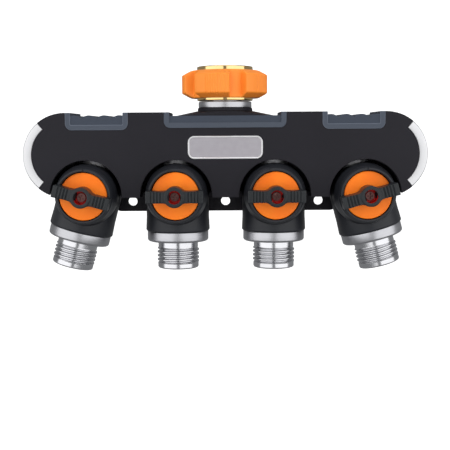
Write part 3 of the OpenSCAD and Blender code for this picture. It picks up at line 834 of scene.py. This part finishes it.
lever = {                 # depths are counted towards the front
    "half": 17.55,        # half length
    "width": 3.45,        # half width of the bar
    "endFlare": 0.25,     # extra half width at the tips
    "flareFrom": 9.0, "flareTo": 17.0,
    "barFrom": 3.0,       # where each half of the bar starts, inside the hub
    "hub": 6.3, "hubBore": 4.65, "mouth": 4.05, "hubFront": 42.0, "lip": 41.25,
    "hubSkin": 0.7,       # how deep the bar runs into the hub's wall
    "fillet": 4.0,        # radius of the hollow between the hub and the bar
    "front": 41.5, "base": 29.25, "overRing": 30.6,
    "step": 14.2,         # where the bar lifts to pass over the ring
    "ribFrom": 7.4, "ribTo": 15.0, "ribPitch": 1.9, "ribDepth": 0.6,
    "edge": 0.7, "rows": 190,
}


def leverBars(place):
    # each half of the bar is a rounded section carried along x, its inner end pushed out to the hub's wall
    k = lever
    x = np.linspace(k["barFrom"], k["half"], k["rows"])[:, None]
    # side of the bar: a hollow arc that touches the hub's circle and the bar's straight side
    arcX = math.sqrt((k["hub"] + k["fillet"]) ** 2 - (k["width"] + k["fillet"]) ** 2)
    touch = k["hub"] / (k["hub"] + k["fillet"])
    arc = np.sqrt(k["fillet"] ** 2 - np.clip(arcX - x, 0, arcX * (1 - touch)) ** 2)
    flare = k["endFlare"] * smoothStep(k["flareFrom"], k["flareTo"], x)
    half = k["width"] + k["fillet"] - arc + flare
    # front of the bar: ribs, and a rounded drop at the tip
    ribs = 0.5 - 0.5 * np.cos(turn * (x - k["ribFrom"]) / k["ribPitch"])
    ribStart = smoothStep(k["ribFrom"], k["ribFrom"] + 0.3, x)
    ribEnd = smoothStep(k["ribTo"] - 0.3, k["ribTo"], x)
    tip = np.clip(k["edge"] - (k["half"] - x), 0, k["edge"])
    tipDrop = k["edge"] - np.sqrt(k["edge"] ** 2 - tip ** 2)
    front = k["front"] - k["ribDepth"] * ribs ** 2 * (ribStart * (1 - ribEnd)) - tipDrop
    base = np.where(x > k["step"], k["overRing"], k["base"])
    # the section is drawn 2 wide and 10 tall, then stretched to the bar's width and height at each x
    tall, corner = 10, k["edge"] / 3.5
    unit = filleted([(-1, 0, 0), (1, 0, 0), (1, tall, corner), (-1, tall, corner)], 6)
    z = unit[:, 0][None] * half
    depth = base + (front - base) * np.clip(unit[:, 1][None] / tall, 0, 1)
    hubWall = k["hub"] - k["hubSkin"]
    fromHub = np.maximum(x + 0 * z, np.sqrt(np.maximum(hubWall ** 2 - z ** 2, 0)))
    toTip = np.minimum(fromHub, np.sqrt(k["half"] ** 2 - z ** 2))
    halves = [place.world(np.stack([sign * toTip, -depth, z], -1)) for sign in (1, -1)]
    return [gridMesh("bar", points, closedRows=False, caps=True) for points in halves]


def leverHub(place):
    # a short tube turned round the key's axis, with a lip over the dial's tube
    k = lever
    outline = filleted([
        (k["hubBore"], k["base"], 0), (k["hub"], k["base"], 0), (k["hub"], k["hubFront"], 0.6),
        (k["mouth"], k["hubFront"], 0.15), (k["mouth"], k["lip"], 0), (k["hubBore"], k["lip"], 0)], 5)
    return gridMesh("hub", turnedForward(outline, place, 96))


def makeLever(i):
    place = valvePlace(i)
    name = f"lever{i}"
    mesh = joined(name, [*leverBars(place), leverHub(place)], 35)
    addPiece(name, mesh, f"valve_key_{i}", f"lever_{i}", leverPlastic, tidy=False)


screwEdge = 0.12          # rounding of the lever screws' edges

for i in valveNumbers:
    print("valve", i)
    makeBarrel(i)
    makeOutlet(i)
    makeDial(i)
    makeLever(i)
    fromCad(f"screw{i}", f"lever_screw_{i}", f"valve_key_{i}", darkSteel, screwEdge)


print("studio")
studio = {                # metres, watts and degrees
    "floor": -0.215,      # height of the floor
    "front": -2.5,        # where the floor starts, well behind the camera
    "bend": 0.35,         # radius of the bend up to the backdrop
    "backdrop": 1.2,      # distance of the backdrop behind the object
    "height": 3.0, "halfWidth": 3.0,
    "paperGlow": 0.75,
    "air": 0.30,          # strength of the light from all round
    "aim": (0, 0, -0.06),
    "boxPower": 5.2, "boxSize": (1.3, 0.9),
    "boxAngle": 46.5,     # of each side box, from straight ahead
    "boxDistance": 0.80, "boxHeight": 0.02,
    "topPower": 5.0, "topSize": (1.3, 0.8), "topAt": (0, -0.25, 0.85),
    "fillPower": 1.6,     # a low light in front, which shows in no reflection
    "fillSize": (1.2, 0.5), "fillAt": (0, -0.75, -0.45),
}
view = {
    "across": -0.0005, "distance": 0.580, "height": -0.040,   # metres
    "lens": 72.5, "sensor": 36, "nearest": 0.02,
    "pitch": 5.95, "roll": -0.35,                             # degrees
}


def makeStudio():
    # floor, bend and backdrop are one profile carried across
    s = studio
    bend = np.radians(np.linspace(0, 90, 16))
    y = np.concatenate([[s["front"]], s["backdrop"] - s["bend"] + s["bend"] * np.sin(bend), [s["backdrop"]]])
    z = s["floor"] + np.concatenate([[0], s["bend"] * (1 - np.cos(bend)), [s["height"]]])
    x = np.linspace(-s["halfWidth"], s["halfWidth"], 2)[:, None]
    points = np.stack([x + 0 * y, y + 0 * x, z + 0 * x], -1) / mm
    mesh = gridMesh("sweep", points, closedRows=False, closedColumns=False)
    mesh.shade_smooth()
    paper = Finish("paper", Roughness=0.9, Emission_Color=(1.0, 1.0, 1.0), Emission_Strength=s["paperGlow"])
    paper.set("Base_Color", paper.mix(paper.noise(3.0, 2.0), (0.86, 0.86, 0.86), (0.90, 0.90, 0.90)))
    mesh.materials.append(paper.material)
    sweep = bpy.data.objects.new("sweep", mesh)
    sweep.visible_glossy = False      # the paper shows in no reflection and lights nothing
    sweep.visible_diffuse = False
    bpy.context.scene.collection.objects.link(sweep)


def areaLight(name, position, size, power):
    light = bpy.data.lights.new(name, "AREA")
    light.shape = "RECTANGLE"
    light.size, light.size_y = size
    light.energy = power
    lamp = bpy.data.objects.new(name, light)
    lamp.location = position
    lamp.rotation_euler = (Vector(studio["aim"]) - Vector(position)).to_track_quat("-Z", "Y").to_euler()
    bpy.context.scene.collection.objects.link(lamp)
    return lamp


def makeLights():
    # two wide boxes that leave a narrow dark gap behind the camera, one box overhead, a low fill
    # and even light all round
    s = studio
    angle = math.radians(s["boxAngle"])
    across, ahead = s["boxDistance"] * math.sin(angle), s["boxDistance"] * math.cos(angle)
    for name, side in (("leftBox", -1), ("rightBox", 1)):
        areaLight(name, (side * across, -ahead, s["boxHeight"]), s["boxSize"], s["boxPower"])
    areaLight("topBox", s["topAt"], s["topSize"], s["topPower"])
    fill = areaLight("lowFill", s["fillAt"], s["fillSize"], s["fillPower"])
    fill.visible_glossy = False
    world = bpy.data.worlds.new("studioAir")
    bpy.context.scene.world = world
    world.use_nodes = True
    air = world.node_tree.nodes["Background"].inputs
    air["Color"].default_value = (0.96, 0.98, 1.0, 1)
    air["Strength"].default_value = s["air"]


def makeCamera():
    # level, then pitched down and rolled a little
    camera = bpy.data.cameras.new("camera")
    camera.lens = view["lens"]
    camera.sensor_width = view["sensor"]
    camera.clip_start = view["nearest"]
    eye = bpy.data.objects.new("camera", camera)
    eye.rotation_mode = "QUATERNION"
    tilt = Matrix.Rotation(math.radians(90 - view["pitch"]), 4, "X")
    roll = Matrix.Rotation(math.radians(view["roll"]), 4, "Z")
    eye.rotation_quaternion = (tilt @ roll).to_quaternion()
    eye.location = (view["across"], -view["distance"], view["height"])
    bpy.context.scene.collection.objects.link(eye)
    bpy.context.scene.camera = eye


makeStudio()
makeLights()
makeCamera()
bpy.context.scene.view_settings.view_transform = "Standard"

print("done")
